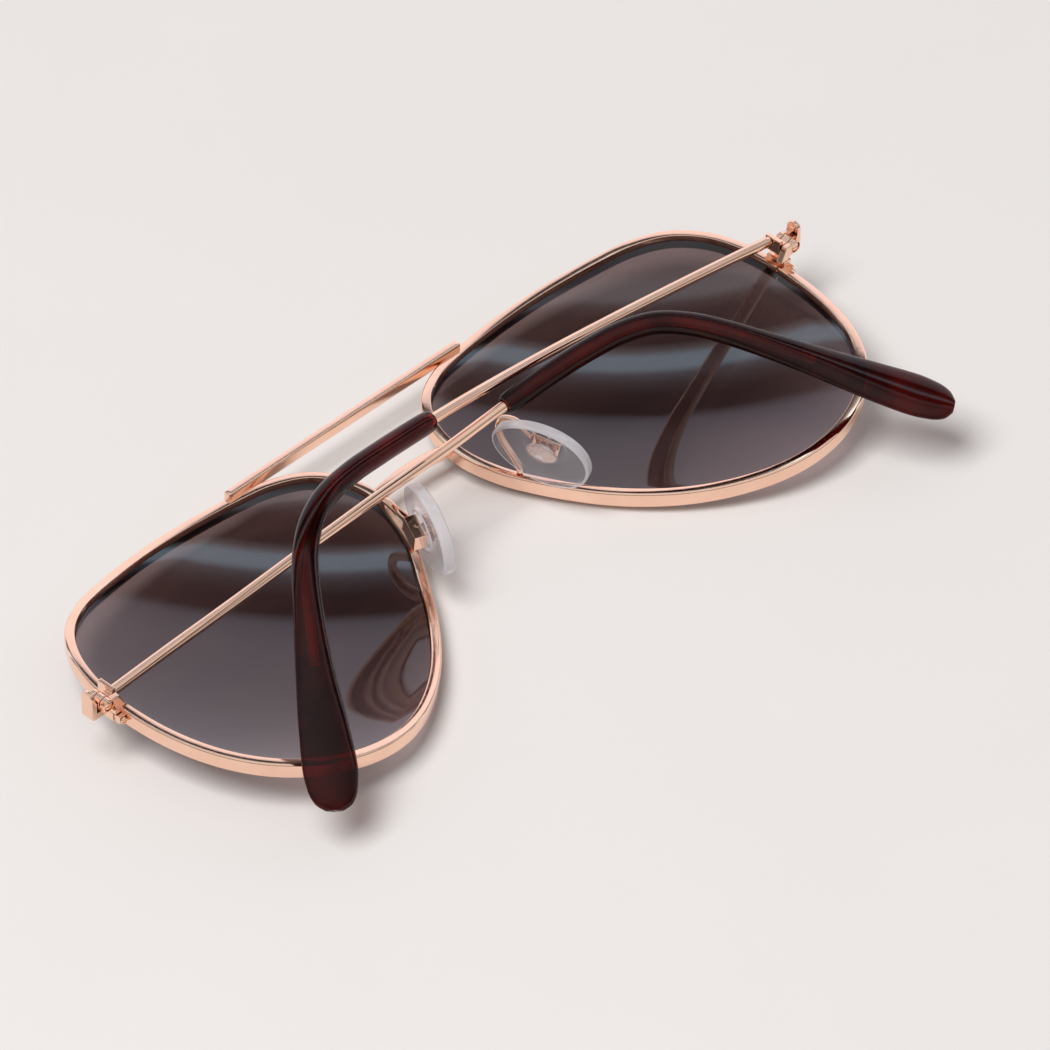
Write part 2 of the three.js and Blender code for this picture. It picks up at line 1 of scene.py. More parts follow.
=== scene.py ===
"""Rose-gold wire sunglasses with smoke lenses, temples folded, on a pale floor.

Pieces are drawn in millimetres for the wearer's right: +x to that side, +y up, +z back
towards the face. x = 0 is the symmetry plane and y = 0 is level with the lens centres.
Left pieces are drawn in the same way and mirrored in x. SHIFT then moves every finished mesh.
"""
import bpy
import math
import numpy as np
from mathutils import Vector, Matrix


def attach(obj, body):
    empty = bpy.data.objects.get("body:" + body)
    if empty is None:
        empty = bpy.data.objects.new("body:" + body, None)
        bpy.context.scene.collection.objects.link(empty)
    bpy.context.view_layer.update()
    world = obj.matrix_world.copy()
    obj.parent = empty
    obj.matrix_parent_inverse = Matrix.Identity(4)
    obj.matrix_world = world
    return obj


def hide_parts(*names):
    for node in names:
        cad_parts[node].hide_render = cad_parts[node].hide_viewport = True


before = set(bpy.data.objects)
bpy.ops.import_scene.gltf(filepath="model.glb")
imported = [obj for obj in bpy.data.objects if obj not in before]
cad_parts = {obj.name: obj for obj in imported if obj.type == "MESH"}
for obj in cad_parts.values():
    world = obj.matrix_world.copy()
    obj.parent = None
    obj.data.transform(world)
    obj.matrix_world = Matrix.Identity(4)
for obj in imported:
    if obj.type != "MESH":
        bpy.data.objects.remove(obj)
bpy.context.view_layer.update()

# ------------------------------------------------------------------ driving dimensions, mm
SHIFT = np.array([0.0, 5.3703, -0.1434])
MM = 0.001
SIDES = ("right", "left")

# lenses and rims
LENS_SPACING = 72.0
LENS_CURVE = 90.0      # radius of the lens surface
WRAP = 0.0799          # how far z moves back for each mm outward
FRAME_Z = 2.85         # z of the rim's back edge, carried to the lens centre
# rim's inner radius about the lens centre, every 10 degrees from +x towards +y
OUTLINE = np.array([
    27.77, 28.26, 28.89, 29.32, 29.08, 27.93, 26.51, 25.52, 25.06, 25.05, 25.5, 26.44,
    27.98, 30.02, 31.49, 31.37, 29.63, 26.7, 23.68, 21.59, 20.31, 19.54, 19.21, 19.31,
    19.79, 20.62, 21.84, 23.46, 25.15, 26.58, 27.63, 28.26, 28.46, 28.26, 27.91, 27.69])
RIM_WALL, RIM_DEPTH = 1.4, 2.4
SLIT_Y, SLIT = 2.72, 0.32                   # height and width of the split in the rim
LENS_BACK, LENS_THICK = 0.85, 1.7           # LENS_BACK: set forward of the rim's back edge
LENS_PLAY, BEVEL = 0.12, 0.57

# brow bar and bridge: BAR_HALF, BAR_Y, BAR_Z is the bar's right end
BAR_W, BAR_T = 1.24, 1.8
BAR_HALF, BAR_Y, BAR_Z = 22.7, 25.7, 3.25 + FRAME_Z
BRIDGE_W, BRIDGE_T = 2.1, 1.3
BRIDGE_HALF, BRIDGE_SPAN = 7.35, 6.9        # half length; where the arch meets its base line
BRIDGE_Y, BRIDGE_RISE = 12.35, 0.5
BRIDGE_Z, BRIDGE_BOW = FRAME_Z + 1.55, 0.35

# closing blocks at the split in the rim
BLOCK_X, BLOCK_OUT = 64.6, 66.4
BLOCK_FRONT, BLOCK_REAR = 7.6, 9.1
BLOCK_HOLE_R = 0.48

# hinge: x, z of its upright axis, and the y ranges of its knuckles
HINGE = HINGE_X, HINGE_Z = 67.4, 11.33
KNUCKLE_R, BORE_R, PIN_R = 1.0, 0.5, 0.43
FRONT_KNUCKLE, TEMPLE_KNUCKLE, END_KNUCKLE = (2.4, 3.35), (3.45, 4.65), (4.75, 5.6)

# temples: distances run along the centre line from the hinge
WIRE_R, WIRE_START, CORE_END, TIP_BORE = 0.78, 3.2, 126.0, 0.88
# path: x, y, z of the centre line; outward: the temple's outer side, which faces back when
# folded; tip: where the plastic starts; lift: turn of the hinge plate, degrees
TEMPLES = {
    "right": dict(
        path=[[65.05, 5.51, 11.96], [54.45, 5.97, 13.23], [41.57, 6.2, 14.91],
              [28.7, 6.1, 16.77], [15.86, 5.65, 18.76], [3.06, 4.79, 20.85],
              [-8.71, 3.6, 22.84], [-16.53, 2.59, 24.18], [-22.42, 1.76, 25.01],
              [-28.26, 0.47, 25.4], [-32.84, -1.49, 25.2], [-36.87, -4.32, 24.39],
              [-40.28, -7.71, 23.04], [-43.93, -12.01, 21.0], [-47.95, -17.05, 18.28],
              [-51.67, -22.12, 15.21], [-55.22, -27.08, 11.79], [-58.52, -31.31, 8.34]],
        outward=[0.0864, -0.3413, 0.936], tip=73.75, lift=6.6),
    "left": dict(
        path=[[64.98, 4.58, 11.0], [54.27, 4.8, 11.4], [41.29, 4.78, 12.11],
              [28.34, 4.63, 13.18], [15.41, 4.19, 14.51], [2.53, 3.34, 15.99],
              [-9.31, 2.56, 17.78], [-17.18, 1.79, 18.99], [-23.09, 1.04, 19.69],
              [-28.94, -0.14, 20.21], [-33.49, -2.15, 20.36], [-37.21, -5.43, 19.83],
              [-40.14, -9.38, 18.98], [-43.19, -14.4, 17.77], [-46.73, -20.22, 16.15],
              [-50.31, -25.96, 14.35], [-54.07, -31.57, 12.53], [-57.97, -36.99, 10.7]],
        outward=[0.0269, -0.0871, 0.9958], tip=77.1, lift=1.75),
}
# temple tip: distance, half width, half thickness
TIP_TABLE = np.array([
    [80, 1.62, 1.6], [100, 1.66, 1.62], [109, 1.82, 1.55], [118, 2.15, 1.45],
    [126.6, 2.8, 1.35], [135, 3.65, 1.25], [140.4, 3.97, 1.2], [143.5, 3.55, 1.1],
    [145.4, 2.6, 0.9], [146.3, 1.2, 0.55]])

# nose pads
PAD_LONG, PAD_WIDE, PAD_THICK = 14.7, 9.3, 1.9
PAD_CENTRE = np.array([11.0, -2.1, 7.5 + FRAME_Z])
PAD_PIVOT = 2.1        # screw axis, outward of the pad's middle plane
PIVOT_HOLE_R = 0.42
PAD_SIDES = 120
ARM_R = 0.55
# centre line of the pad arm: x, y, and z measured from FRAME_Z
ARM_PATH = [[10.85, 1.8, 1.72], [10.85, 1.95, 2.3], [10.9, 3.4, 3.7], [11.0, 5.4, 5.2],
            [11.3, 6.55, 6.8], [11.8, 6.3, 8.1], [12.2, 4.7, 8.7], [12.35, 2.8, 8.45],
            [12.22, 0.75, 7.98]]


def unit(vector):
    return np.asarray(vector, float) / np.linalg.norm(vector)


# ------------------------------------------------------------------ shader graphs
class Graph:
    """A node tree, with short calls for the nodes used below."""

    def __init__(self, owner, output_kind):
        owner.use_nodes = True
        self.owner, self.tree = owner, owner.node_tree
        self.tree.nodes.clear()
        self.output = self.tree.nodes.new(output_kind)

    def add(self, kind, inputs=None, **settings):
        """New node; each input is given a socket to link or a value."""
        node = self.tree.nodes.new("ShaderNode" + kind)
        for name, value in settings.items():
            setattr(node, name, value)
        for key, value in (inputs or {}).items():
            socket = node.inputs[key]
            if isinstance(value, bpy.types.NodeSocket):
                self.tree.links.new(value, socket)
            else:
                socket.default_value = (*value, 1) if socket.type == "RGBA" else value
        return node

    def first(self, kind, inputs, **settings):
        """New node's first output."""
        return self.add(kind, inputs, **settings).outputs[0]

    def math(self, operation, *values):
        return self.first("Math", dict(enumerate(values)), operation=operation)

    def noise(self, scale, detail=3.0, roughness=0.5):
        """Noise over self.point; scale is in waves per mm."""
        return self.first("TexNoise", {"Scale": scale, "Detail": detail,
                                       "Roughness": roughness, "Vector": self.point})

    def remap(self, value, low, high, from_low=0.3, from_high=0.7):
        return self.first("MapRange", {"Value": value, "From Min": from_low,
                                       "From Max": from_high, "To Min": low, "To Max": high})

    def varied(self, low, high, **pattern):
        """A number that wanders between low and high."""
        return self.remap(self.noise(**pattern), low, high)

    def colour(self, factor, start, end):
        return self.add("Mix", {0: factor, 6: start, 7: end}, data_type="RGBA").outputs[2]

    def clouded(self, start, end, **pattern):
        """A colour that wanders between start and end."""
        return self.colour(self.noise(**pattern), start, end)

    def ripple(self, distance, strength=1.0, **pattern):
        """A bumped normal; distance is in metres."""
        return self.first("Bump", {"Strength": strength, "Distance": distance,
                                   "Height": self.noise(**pattern)})

    def glossy(self, colour, roughness, normal):
        return self.first("BsdfGlossy", {"Color": colour, "Roughness": roughness,
                                         "Normal": normal})

    def mix(self, factor, start, end):
        return self.first("MixShader", {0: factor, 1: start, 2: end})

    def sheen(self, face_on, grazing=1.0):
        """Share reflected, the same from either side of a face; and the back-face flag."""
        geometry = self.add("NewGeometry").outputs
        dot = self.add("VectorMath", {0: geometry["Incoming"], 1: geometry["Normal"]},
                       operation="DOT_PRODUCT").outputs["Value"]
        edge = self.math("SUBTRACT", 1.0, self.math("ABSOLUTE", dot))
        fresnel_power = 5.0
        curve = self.math("POWER", edge, fresnel_power)
        share = self.math("MULTIPLY_ADD", curve, grazing - face_on, face_on)
        return share, geometry["Backfacing"]

    def finish(self, shader):
        self.tree.links.new(shader, self.output.inputs["Surface"])
        return self.owner


def material_graph(name):
    """Graph of a new material, its patterns laid out in object millimetres."""
    graph = Graph(bpy.data.materials.new(name), "ShaderNodeOutputMaterial")
    graph.point = graph.first("Mapping", {"Vector": graph.add("TexCoord").outputs["Object"],
                                          "Scale": [1000.0] * 3})
    return graph


# ------------------------------------------------------------------ materials
def polished(name, dark, light, roughness, wave=0.000004):
    """Plated, polished metal: faint clouds in the plating and an uneven polish."""
    graph = material_graph(name)
    return graph.finish(graph.first("BsdfPrincipled", {
        "Metallic": 1.0,
        "Base Color": graph.colour(graph.varied(0, 1, scale=0.22, detail=4), dark, light),
        "Roughness": graph.varied(*roughness, scale=1.3, detail=5, roughness=0.6),
        "Normal": graph.ripple(distance=wave, scale=0.8)}))


def smoke_lens():
    """Tinted lens: each surface absorbs some light and reflects like glass. Its tint is darker
    at the top and lighter at the bottom: a gradient tint that also carries painted shade and
    painted light.
    """
    graph = material_graph("smoke_lens_glass")
    height = graph.add("SeparateXYZ", {0: graph.point}).outputs["Y"]
    cloud = graph.noise(scale=0.08, detail=2)
    down = graph.remap(height, low=1.0, high=0.0, from_low=-22.0, from_high=-2.0)
    cloud_share = 0.12
    gradient_tint_and_painted_light = graph.colour(graph.math("MULTIPLY_ADD", cloud, cloud_share, down),
                        start=(0.435, 0.36, 0.355),    # upper part, darker: gradient tint plus a painted dark reflection
                        end=(0.635, 0.565, 0.575))     # lighter towards the cheek, at the bottom: gradient tint plus painted light of the floor seen through the lower edge
    through = graph.first("BsdfTransparent", {"Color": gradient_tint_and_painted_light})
    shine = graph.glossy(
        colour=graph.colour(cloud, (0.86, 0.93, 1.0), (0.92, 0.95, 1.0)),
        roughness=graph.varied(0.012, 0.03, scale=0.5),
        normal=graph.ripple(distance=0.00001, strength=0.4, scale=0.06, detail=2))
    return graph.finish(graph.mix(graph.sheen(face_on=0.055)[0], through, shine))


def tip_plastic():
    """Very dark red-brown plastic that glows red where light comes through it."""
    graph = material_graph("tip_tortoise_plastic")
    swirl = graph.remap(graph.noise(scale=0.16, detail=4, roughness=0.6),
                        low=0.0, high=1.0, from_low=0.35, from_high=0.65)
    through = graph.first("BsdfTransparent", {
        "Color": graph.colour(swirl, (0.24, 0.020, 0.015), (0.48, 0.065, 0.045))})
    body = graph.first("BsdfDiffuse", {
        "Color": graph.colour(swirl, (0.008, 0.0015, 0.001), (0.034, 0.005, 0.003))})
    body_share = 0.45
    inside = graph.mix(body_share, through, body)
    shine = graph.glossy(
        colour=(0.95, 0.97, 1.0),
        roughness=graph.varied(0.05, 0.10, scale=0.9, detail=4),
        normal=graph.ripple(distance=0.00002, strength=0.5, scale=0.25, detail=2))
    share, back_face = graph.sheen(face_on=0.018, grazing=0.8)
    front_share = graph.math("MULTIPLY", share, graph.math("SUBTRACT", 1.0, back_face))
    return graph.finish(graph.mix(front_share, inside, shine))


def bore_wall():
    """Bore of the tip, wetted by the plastic around the wire: hardly to be seen."""
    graph = material_graph("tip_bore_wall")
    return graph.finish(graph.first("BsdfTransparent", {
        "Color": graph.clouded((0.88, 0.72, 0.70), (0.96, 0.86, 0.84), scale=0.3, detail=2)}))


def clear_pad(name, least, painted_sheen_gain):
    """Soft clear plastic. Its share of white is least face on and grows by the gain at grazing;
    the white is partly milky plastic and partly a painted highlight, and its growth at grazing
    is a painted sheen.
    """
    graph = material_graph(name)
    see_through = graph.first("BsdfTransparent", {
        "Color": graph.clouded((0.95, 0.93, 0.95), (0.99, 0.98, 0.985), scale=0.25)})
    milk_and_highlight_white = graph.first("BsdfTranslucent", {
        "Color": graph.clouded((0.90, 0.89, 0.93), (0.97, 0.96, 0.98), scale=0.3)})
    matt = graph.first("BsdfDiffuse", {
        "Color": graph.clouded((0.88, 0.87, 0.92), (0.96, 0.95, 0.98), scale=0.3)})
    matt_share = 0.5
    body = graph.mix(matt_share, milk_and_highlight_white, matt)
    # painted highlight: the white grows towards grazing and mostly falls away on back faces,
    # standing in for the bright edges of clear plastic
    edge, back_face = graph.sheen(face_on=0.0)
    edge_softness, back_loss = 0.42, -0.85
    white_share_milk_and_highlight = graph.math("MULTIPLY_ADD", graph.math("POWER", edge, edge_softness), painted_sheen_gain,
                           graph.varied(least, least + 0.06, scale=0.2))
    keep = graph.math("MULTIPLY_ADD", back_face, back_loss, 1.0)
    inside = graph.mix(graph.math("MULTIPLY", white_share_milk_and_highlight, keep), see_through, body)
    shine = graph.glossy(
        colour=(1, 1, 1),
        roughness=graph.varied(0.04, 0.12, scale=0.7),
        normal=graph.ripple(distance=0.00002, strength=0.5, scale=0.5, detail=2))
    return graph.finish(graph.mix(graph.sheen(face_on=0.05)[0], inside, shine))


def pale_floor():
    graph = material_graph("pale_floor")
    return graph.finish(graph.first("BsdfPrincipled", {
        "Base Color": graph.colour(graph.varied(0, 1, scale=0.02),
                                   (0.800, 0.762, 0.744), (0.812, 0.774, 0.756)),
        "Roughness": graph.varied(0.7, 0.85, scale=0.3),
        "Specular IOR Level": 0.15}))


# finishes: slot name, and the materials of the mesh
GOLD = "rose_gold", [polished("rose_gold_metal", dark=(0.95, 0.615, 0.46),
                              light=(1.0, 0.675, 0.515), roughness=(0.06, 0.12))]
SCREW = "screw_metal", [polished("screw_metal_finish", dark=(0.92, 0.64, 0.50),
                                 light=(1.0, 0.76, 0.62), roughness=(0.08, 0.18),
                                 wave=0.000006)]
INSERT = "pad_insert", [polished("pad_insert_metal", dark=(0.74, 0.58, 0.50),
                                 light=(0.86, 0.70, 0.62), roughness=(0.18, 0.32),
                                 wave=0.000006)]
LENS = "smoke_glass", [smoke_lens()]
TIP = "tip_plastic", [tip_plastic(), bore_wall()]
# pad plastic: the face is nearly clear with a painted sheen at grazing; the edge is milky white
# with a painted highlight
PAD = "pad_clear", [clear_pad("pad_clear_plastic_painted_sheen", least=0.03, painted_sheen_gain=0.36),
                    clear_pad("pad_edge_milk_and_painted_highlight", least=0.66, painted_sheen_gain=0.3)]


# ------------------------------------------------------------------ mesh tools
# A mesh is a pair: vertices in mm, and faces.
def publish(piece, mesh, body, finish, sharp, mirror=False, face_materials=None):
    """Make the object that stands in for a CAD piece; sharp is in degrees."""
    verts, faces = np.array(mesh[0], float), mesh[1]
    if mirror:
        verts[:, 0] *= -1
        faces = [tuple(reversed(face)) for face in faces]
    name = f"{piece}_visual"
    data = bpy.data.meshes.new(name)
    data.from_pydata(((verts + SHIFT) * MM).tolist(), [], faces)
    slot, materials = finish
    for material in materials:
        data.materials.append(material)
    if face_materials is not None:
        data.polygons.foreach_set("material_index", np.array(face_materials, np.int32))
    data.polygons.foreach_set("use_smooth", np.ones(len(data.polygons), bool))
    data.update()
    data.set_sharp_from_angle(angle=math.radians(sharp))
    ob = bpy.data.objects.new(name, data)
    bpy.context.scene.collection.objects.link(ob)
    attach(ob, body)
    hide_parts(piece)


def outward(verts, faces):
    """Faces turned so that the mesh encloses a positive volume."""
    total = 0.0
    for face in faces:
        for i in range(1, len(face) - 1):
            total += np.dot(verts[face[0]], np.cross(verts[face[i]], verts[face[i + 1]]))
    return faces if total > 0 else [tuple(reversed(face)) for face in faces]


def skin(rings):
    """Closed surface over equal rings: the strips in order, then the two end fans, whose
    faces alternate first end, last end."""
    rings = np.asarray(rings, float)
    count, sides = rings.shape[:2]
    faces = []
    for i in range(count - 1):
        here, there = i * sides, (i + 1) * sides
        for k in range(sides):
            l = (k + 1) % sides
            faces.append((here + k, here + l, there + l, there + k))
    first_centre = count * sides
    verts = np.vstack([rings.reshape(-1, 3), rings[0].mean(0), rings[-1].mean(0)])
    last = (count - 1) * sides
    for k in range(sides):
        l = (k + 1) % sides
        faces.append((first_centre, l, k))
        faces.append((first_centre + 1, last + k, last + l))
    return verts, outward(verts, faces)


def second_material(strips, sides, marked):
    """Material indices for a skin: 1 on the marked strips and on the first end's fan."""
    return [int(i in marked) for i in range(strips) for _ in range(sides)] + [1, 0] * sides


def cuboid(x, y, z):
    verts = np.array([[i, j, k] for i in x for j in y for k in z], float)
    faces = [(0, 1, 3, 2), (4, 6, 7, 5), (0, 4, 5, 1), (2, 3, 7, 6), (0, 2, 6, 4), (1, 5, 7, 3)]
    return verts, outward(verts, faces)


def circle(sides):
    angles = np.linspace(0, 2 * np.pi, sides, endpoint=False)
    return np.cos(angles), np.sin(angles)


def drum(radius, centre, low, high, axis="y", sides=56):
    """Round bar along y or x; centre is in the other two coordinates."""
    cos, sin = circle(sides)
    across, over = centre[0] + radius * cos, centre[1] + radius * sin
    rings = []
    for level in (low, high):
        along = np.full(sides, level)
        rings.append(np.stack([across, along, over] if axis == "y"
                              else [along, across, over], -1))
    return skin(rings)


def prism(corners, y):
    """Solid with x, z corners, between two heights."""
    return skin([[(x, level, z) for x, z in corners] for level in y])


def work_object(parts):
    verts, faces, base = [], [], 0
    for part_verts, part_faces in parts:
        verts.append(part_verts)
        faces += [tuple(i + base for i in face) for face in part_faces]
        base += len(part_verts)
    data = bpy.data.meshes.new("work")
    data.from_pydata(np.vstack(verts).tolist(), [], faces)
    data.update()
    ob = bpy.data.objects.new("work", data)
    bpy.context.scene.collection.objects.link(ob)
    return ob


def carve(ob, cuts):
    """Cut each mesh from a work object; returns the result and removes the work objects."""
    tools = []
    for cut in cuts:
        tool = work_object([cut])
        boolean = ob.modifiers.new("cut", "BOOLEAN")
        boolean.operation, boolean.solver, boolean.object = "DIFFERENCE", "EXACT", tool
        tools.append(tool)
    bpy.context.view_layer.update()
    depsgraph = bpy.context.evaluated_depsgraph_get()
    result = bpy.data.meshes.new_from_object(ob.evaluated_get(depsgraph))
    verts = np.zeros(len(result.vertices) * 3)
    result.vertices.foreach_get("co", verts)
    faces = [tuple(polygon.vertices) for polygon in result.polygons]
    for used in [ob] + tools:
        data = used.data
        bpy.data.objects.remove(used)
        bpy.data.meshes.remove(data)
    bpy.data.meshes.remove(result)
    return verts.reshape(-1, 3), faces


def fuse(parts, voxel, soften, cuts):
    """One solid out of overlapping parts, its edges softened like a casting's, then cut."""
    ob = work_object(parts)
    remesh = ob.modifiers.new("one", "REMESH")
    remesh.mode, remesh.voxel_size, remesh.adaptivity = "VOXEL", voxel, 0.0
    smooth = ob.modifiers.new("soft", "SMOOTH")
    smooth.factor, smooth.iterations = 0.5, soften
    return carve(ob, cuts)


def rounded(corners, radii, steps=5):
    """Polygon with each corner replaced by an arc."""
    points = []
    for i, radius in enumerate(radii):
        corner, before, after = (np.array(corners[k], float)
                                 for k in (i, i - 1, (i + 1) % len(corners)))
        back, ahead = unit(before - corner), unit(after - corner)
        half = math.acos(back @ ahead) / 2
        reach = radius / math.tan(half)
        centre = corner + unit(back + ahead) * (radius / math.sin(half))
        start, end = corner + back * reach - centre, corner + ahead * reach - centre
        angle = math.atan2(start[1], start[0])
        turn = (math.atan2(end[1], end[0]) - angle + math.pi) % (2 * math.pi) - math.pi
        for k in range(steps + 1):
            here = angle + turn * k / steps
            points.append(centre + radius * np.array([math.cos(here), math.sin(here)]))
    return np.array(points)


def rounded_box(half_w, half_h, radius):
    return rounded([(-half_w, -half_h), (half_w, -half_h), (half_w, half_h), (-half_w, half_h)],
                   [radius] * 4, steps=6)


def catmull(points, per=60):
    """Centripetal Catmull-Rom curve through points: distances along it, and positions."""
    points = list(np.array(points, float))
    points = [2 * points[0] - points[1]] + points + [2 * points[-1] - points[-2]]
    curve = []
    for i in range(1, len(points) - 2):
        p0, p1, p2, p3 = points[i - 1:i + 3]
        d0, d1, d2 = (np.linalg.norm(b - a) ** 0.5 for a, b in ((p0, p1), (p1, p2), (p2, p3)))
        t1 = ((p1 - p0) / d0 - (p2 - p0) / (d0 + d1) + (p2 - p1) / d1) * d1
        t2 = ((p2 - p1) / d1 - (p3 - p1) / (d1 + d2) + (p3 - p2) / d2) * d1
        for k in range(per):
            t = k / per
            bend = ((2 * p1 - 2 * p2 + t1 + t2) * t + (-3 * p1 + 3 * p2 - 2 * t1 - t2)) * t
            curve.append((bend + t1) * t + p1)
    curve.append(points[-2])
    curve = np.array(curve)
    steps = np.linalg.norm(np.diff(curve, axis=0), axis=1)
    return np.concatenate([[0], np.cumsum(steps)]), curve


class Spine:
    """Centre line whose first point lies at distance start; facing steers its sections."""

    def __init__(self, points, start, facing):
        self.distances, self.curve = catmull(points)
        self.start, self.facing = start, np.array(facing, float)

    def point(self, distance):
        return np.stack([np.interp(distance, self.distances, self.curve[:, k])
                         for k in range(3)], -1)

    def at(self, stations):
        """Positions, and the section's two axes, across and facing."""
        def normalised(vectors):
            return vectors / np.linalg.norm(vectors, axis=-1, keepdims=True)
        end, reach = self.distances[-1], 0.35
        along = np.clip(np.asarray(stations, float) - self.start, 0, end)
        tangent = normalised(self.point(np.minimum(along + reach, end))
                             - self.point(np.maximum(along - reach, 0)))
        facing = normalised(self.facing - (tangent @ self.facing)[..., None] * tangent)
        return self.point(along), normalised(np.cross(facing, tangent)), facing


def swept(spine, stations, half_width, half_thick, sides):
    """Rings of oval sections along a spine."""
    centre, across, facing = spine.at(stations)
    cos, sin = circle(sides)
    return (centre[:, None] + across[:, None] * (half_width[:, None] * cos)[..., None]
            + facing[:, None] * (half_thick[:, None] * sin)[..., None])


# ------------------------------------------------------------------ rims and lenses
def outline_radius(angles):
    count = len(OUTLINE)
    place = (angles / (2 * np.pi) * count) % count
    i = np.floor(place).astype(int)
    f = place - i
    p0, p1, p2, p3 = (OUTLINE[(i + k) % count] for k in (-1, 0, 1, 2))
    return p1 + 0.5 * f * (p2 - p0 + f * (2 * p0 - 5 * p1 + 4 * p2 - p3
                                          + f * (3 * (p1 - p2) + p3 - p0)))


def outline(angles, offset):
    """Points of the rim's inner outline, moved outward by offset."""
    def at(t):
        return np.stack([outline_radius(t) * np.cos(t), outline_radius(t) * np.sin(t)], -1)
    step = 0.02
    along = at(angles + step) - at(angles - step)
    along /= np.linalg.norm(along, axis=-1, keepdims=True)
    return at(angles) + offset * np.stack([along[:, 1], -along[:, 0]], -1)


def lens_z(flat):
    """z of the curved and wrapped lens surface over points about the lens centre."""
    return ((flat[..., 0] ** 2 + flat[..., 1] ** 2) / (2 * LENS_CURVE)
            + flat[..., 0] * WRAP + FRAME_Z)


def place(flat, z):
    return np.stack([LENS_SPACING / 2 + flat[..., 0], flat[..., 1], z], -1)


# outward and z offsets from the inner back edge, with a groove for the lens bevel
RIM_SECTION = rounded([(0, 0), (RIM_WALL, 0), (RIM_WALL, -RIM_DEPTH), (0, -RIM_DEPTH),
                       (0, -2.05), (0.75, -1.85), (0.75, -1.35), (0, -1.15)],
                      [0.10, 0.34, 0.34, 0.12, 0.06, 0.08, 0.08, 0.06])


def rim_mesh():
    trial = np.linspace(-0.3, 0.5, 4000)
    height = outline(trial, RIM_WALL / 2)[:, 1]
    above, below = SLIT_Y + SLIT / 2, SLIT_Y - SLIT / 2
    angles = np.linspace(np.interp(above, height, trial),
                         np.interp(below, height, trial) + 2 * np.pi, 420)
    z = lens_z(outline(angles, 0))
    rings = np.stack([place(outline(angles, offset), z + dz) for offset, dz in RIM_SECTION], 1)
    # the cut faces of the split lie level, with a small bevel
    bevel = 0.05
    ends = []
    for row, level, sign in ((0, above, 1), (-1, below, -1)):
        rings[row, :, 1] = level
        ends.append(rings[row] + (rings[row].mean(0) - rings[row]) * 0.06)
        rings[row, :, 1] += bevel * sign
    return skin(np.concatenate([ends[0][None], rings, ends[1][None]], 0))


def lens_mesh():
    angles = np.linspace(0, 2 * np.pi, 288, endpoint=False)
    edge_z = lens_z(outline(angles, 0))
    back, thick, edge, crest = LENS_BACK, LENS_THICK, -LENS_PLAY, -LENS_PLAY + BEVEL
    soft, front_sink = 0.05, 0.19
    shares = list(np.linspace(0.06, 0.96, 19))
    rings = []
    for share in shares:                                # back surface, from the centre out
        flat = outline(angles, edge) * share
        rings.append(place(flat, lens_z(flat) - back))
    # edge: outward offset, depth forward of the rim's back edge
    for offset, depth in ((edge - soft, back), (edge, back + soft), (edge, 1.3),
                          (crest - soft, 1.5), (crest, 1.56), (crest, 1.64),
                          (crest - soft, 1.7), (edge, 1.95), (edge, back + thick - soft),
                          (edge - soft, back + thick)):
        rings.append(place(outline(angles, offset), edge_z - depth))
    for share in reversed(shares):                      # front surface, back to the centre
        flat = outline(angles, edge) * share
        rings.append(place(flat, lens_z(flat) - back - thick + front_sink * (1 - share * share)))
    return skin(rings)


def build_rims():
    rim, lens = rim_mesh(), lens_mesh()
    for side in SIDES:
        mirror = side == "left"
        publish(f"{side}_rim", rim, "front", GOLD, 30, mirror)
        publish(f"{side}_lens", lens, "front", LENS, 30, mirror)


# ------------------------------------------------------------------ brow bar and bridge
def bar_mesh():
    ends = [(0.0, 0.16), (0.03, 0.08), (0.08, 0.03), (0.16, 0.0)]    # distance in, shrink
    stations = ([(-BAR_HALF + inset, shrink) for inset, shrink in ends]
                + [(x, 0.0) for x in np.linspace(-BAR_HALF + 0.6, BAR_HALF - 0.6, 40)]
                + [(BAR_HALF - inset, shrink) for inset, shrink in reversed(ends)])
    rings = []
    for x, shrink in stations:
        section = rounded_box(BAR_W / 2 - shrink, BAR_T / 2 - shrink, max(0.3 - shrink, 0.05))
        rings.append(np.stack([np.full(len(section), x), BAR_Y + section[:, 0],
                               BAR_Z + section[:, 1]], -1))
    return skin(rings)


def bridge_mesh():
    def at(x):
        arch = 1 - (x / BRIDGE_SPAN) ** 2
        return np.array([x, BRIDGE_Y + BRIDGE_RISE * arch, BRIDGE_Z + BRIDGE_BOW * arch])
    section = rounded_box(BRIDGE_W / 2, BRIDGE_T / 2, 0.42)
    rings = []
    for x in np.linspace(-BRIDGE_HALF, BRIDGE_HALF, 60):
        along = unit(at(x + 0.01) - at(x - 0.01))
        across = unit(np.cross([0, 0, 1], along))
        rings.append(at(x) + section[:, :1] * across + section[:, 1:] * np.cross(along, across))
    return skin(rings)


# ------------------------------------------------------------------ temples
def smooth_table(x, table_x, table_y):
    """Monotone cubic through a table."""
    width = np.diff(table_x)
    rise = np.diff(table_y) / width
    w0, w1, r0, r1 = width[:-1], width[1:], rise[:-1], rise[1:]
    slope = np.zeros(len(table_x))
    slope[1:-1] = np.where(r0 * r1 > 0,
                           3 * (w0 + w1) / ((2 * w1 + w0) / r0 + (w1 + 2 * w0) / r1), 0)
    slope[0], slope[-1] = rise[0], rise[-1]
    x = np.clip(x, table_x[0], table_x[-1])
    i = np.clip(np.searchsorted(table_x, x) - 1, 0, len(table_x) - 2)
    s = (x - table_x[i]) / width[i]
    return ((1 + 2 * s) * (1 - s) ** 2 * table_y[i] + s * (1 - s) ** 2 * width[i] * slope[i]
            + s * s * (3 - 2 * s) * table_y[i + 1] + s * s * (s - 1) * width[i] * slope[i + 1])


